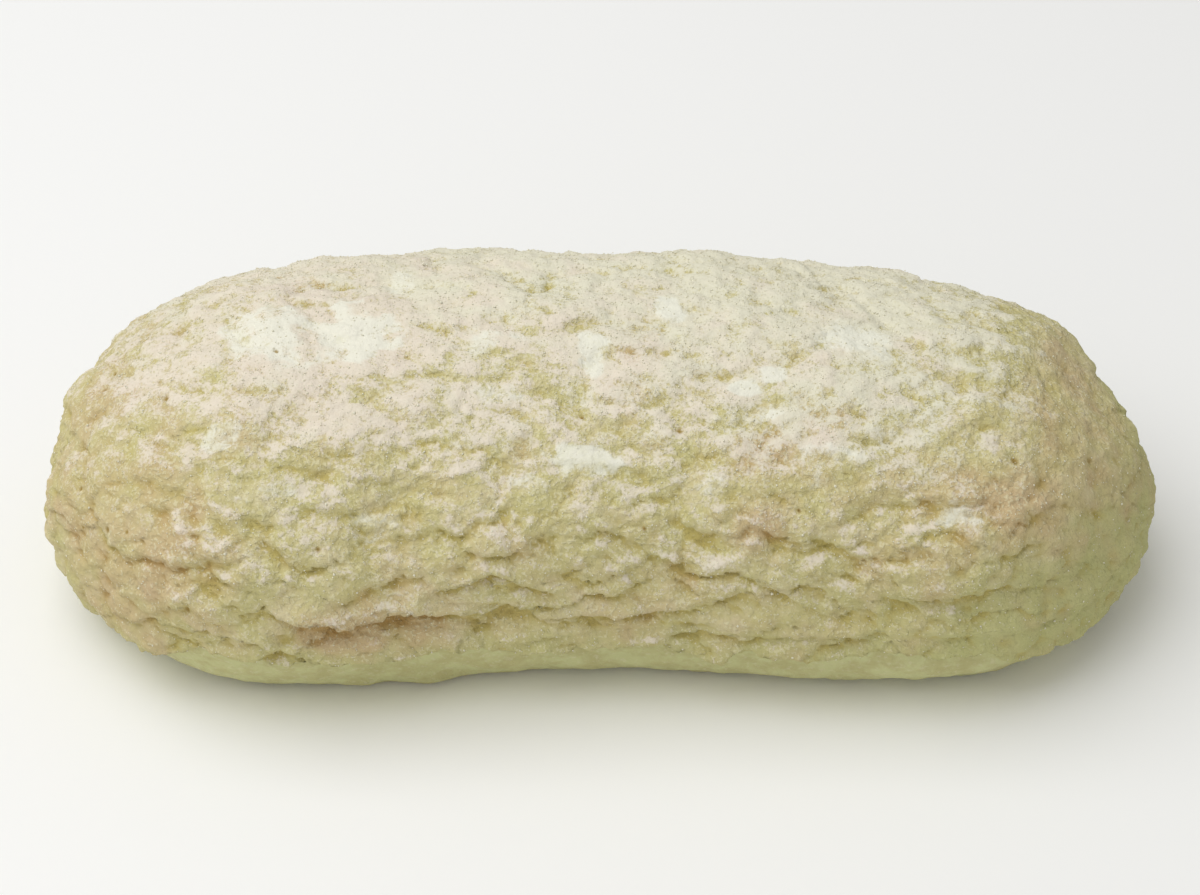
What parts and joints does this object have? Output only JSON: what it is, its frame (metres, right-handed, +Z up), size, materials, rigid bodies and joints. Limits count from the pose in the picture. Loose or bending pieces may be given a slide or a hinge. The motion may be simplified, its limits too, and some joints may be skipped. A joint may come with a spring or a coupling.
{
  "type": "cream-filled melon pan",
  "caption": "Oblong uncut melon pan with a pale lumpy cookie crust dusted with powdered sugar, slightly bent, resting on a flat base.",
  "frame": {"origin": "centre of the bun's box at the level of the flat base", "axes": "+X along the bun towards its right end, -Y towards the front that the picture shows, +Z up"},
  "size_m": [0.1598, 0.0736, 0.0462],
  "materials": {
    "cookie_crust": "matte, crumbly pale yellow-green cookie crust under powdered sugar"
  },
  "bodies": {
    "root": {"bun": "cookie_crust"}
  },
  "joints": []
}
